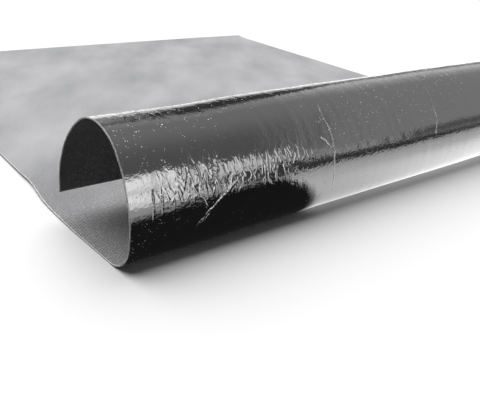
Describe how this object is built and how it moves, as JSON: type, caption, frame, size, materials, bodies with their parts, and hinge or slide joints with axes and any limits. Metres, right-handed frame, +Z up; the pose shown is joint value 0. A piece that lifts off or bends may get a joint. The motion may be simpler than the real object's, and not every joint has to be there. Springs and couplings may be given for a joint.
{
  "type": "roofing felt sheet with rolled end",
  "caption": "Sheet of self-adhesive roofing felt lying flat, grey fleece above and glossy black film below, with its end rolled back over itself.",
  "frame": {"origin": "on the floor under the middle of the whole sheet's box", "axes": "+X along the roll's axis, +Y from the roll to the flat part's cut end, +Z up from the film side to the fleece side"},
  "size_m": [1, 1.0451, 0.1528],
  "materials": {
    "felt": "bitumen sheet with a matt grey embossed fleece on its upper face and a glossy black film on its lower face, which is the outside of the roll"
  },
  "bodies": {
    "root": {"felt_sheet": "felt"}
  },
  "joints": []
}
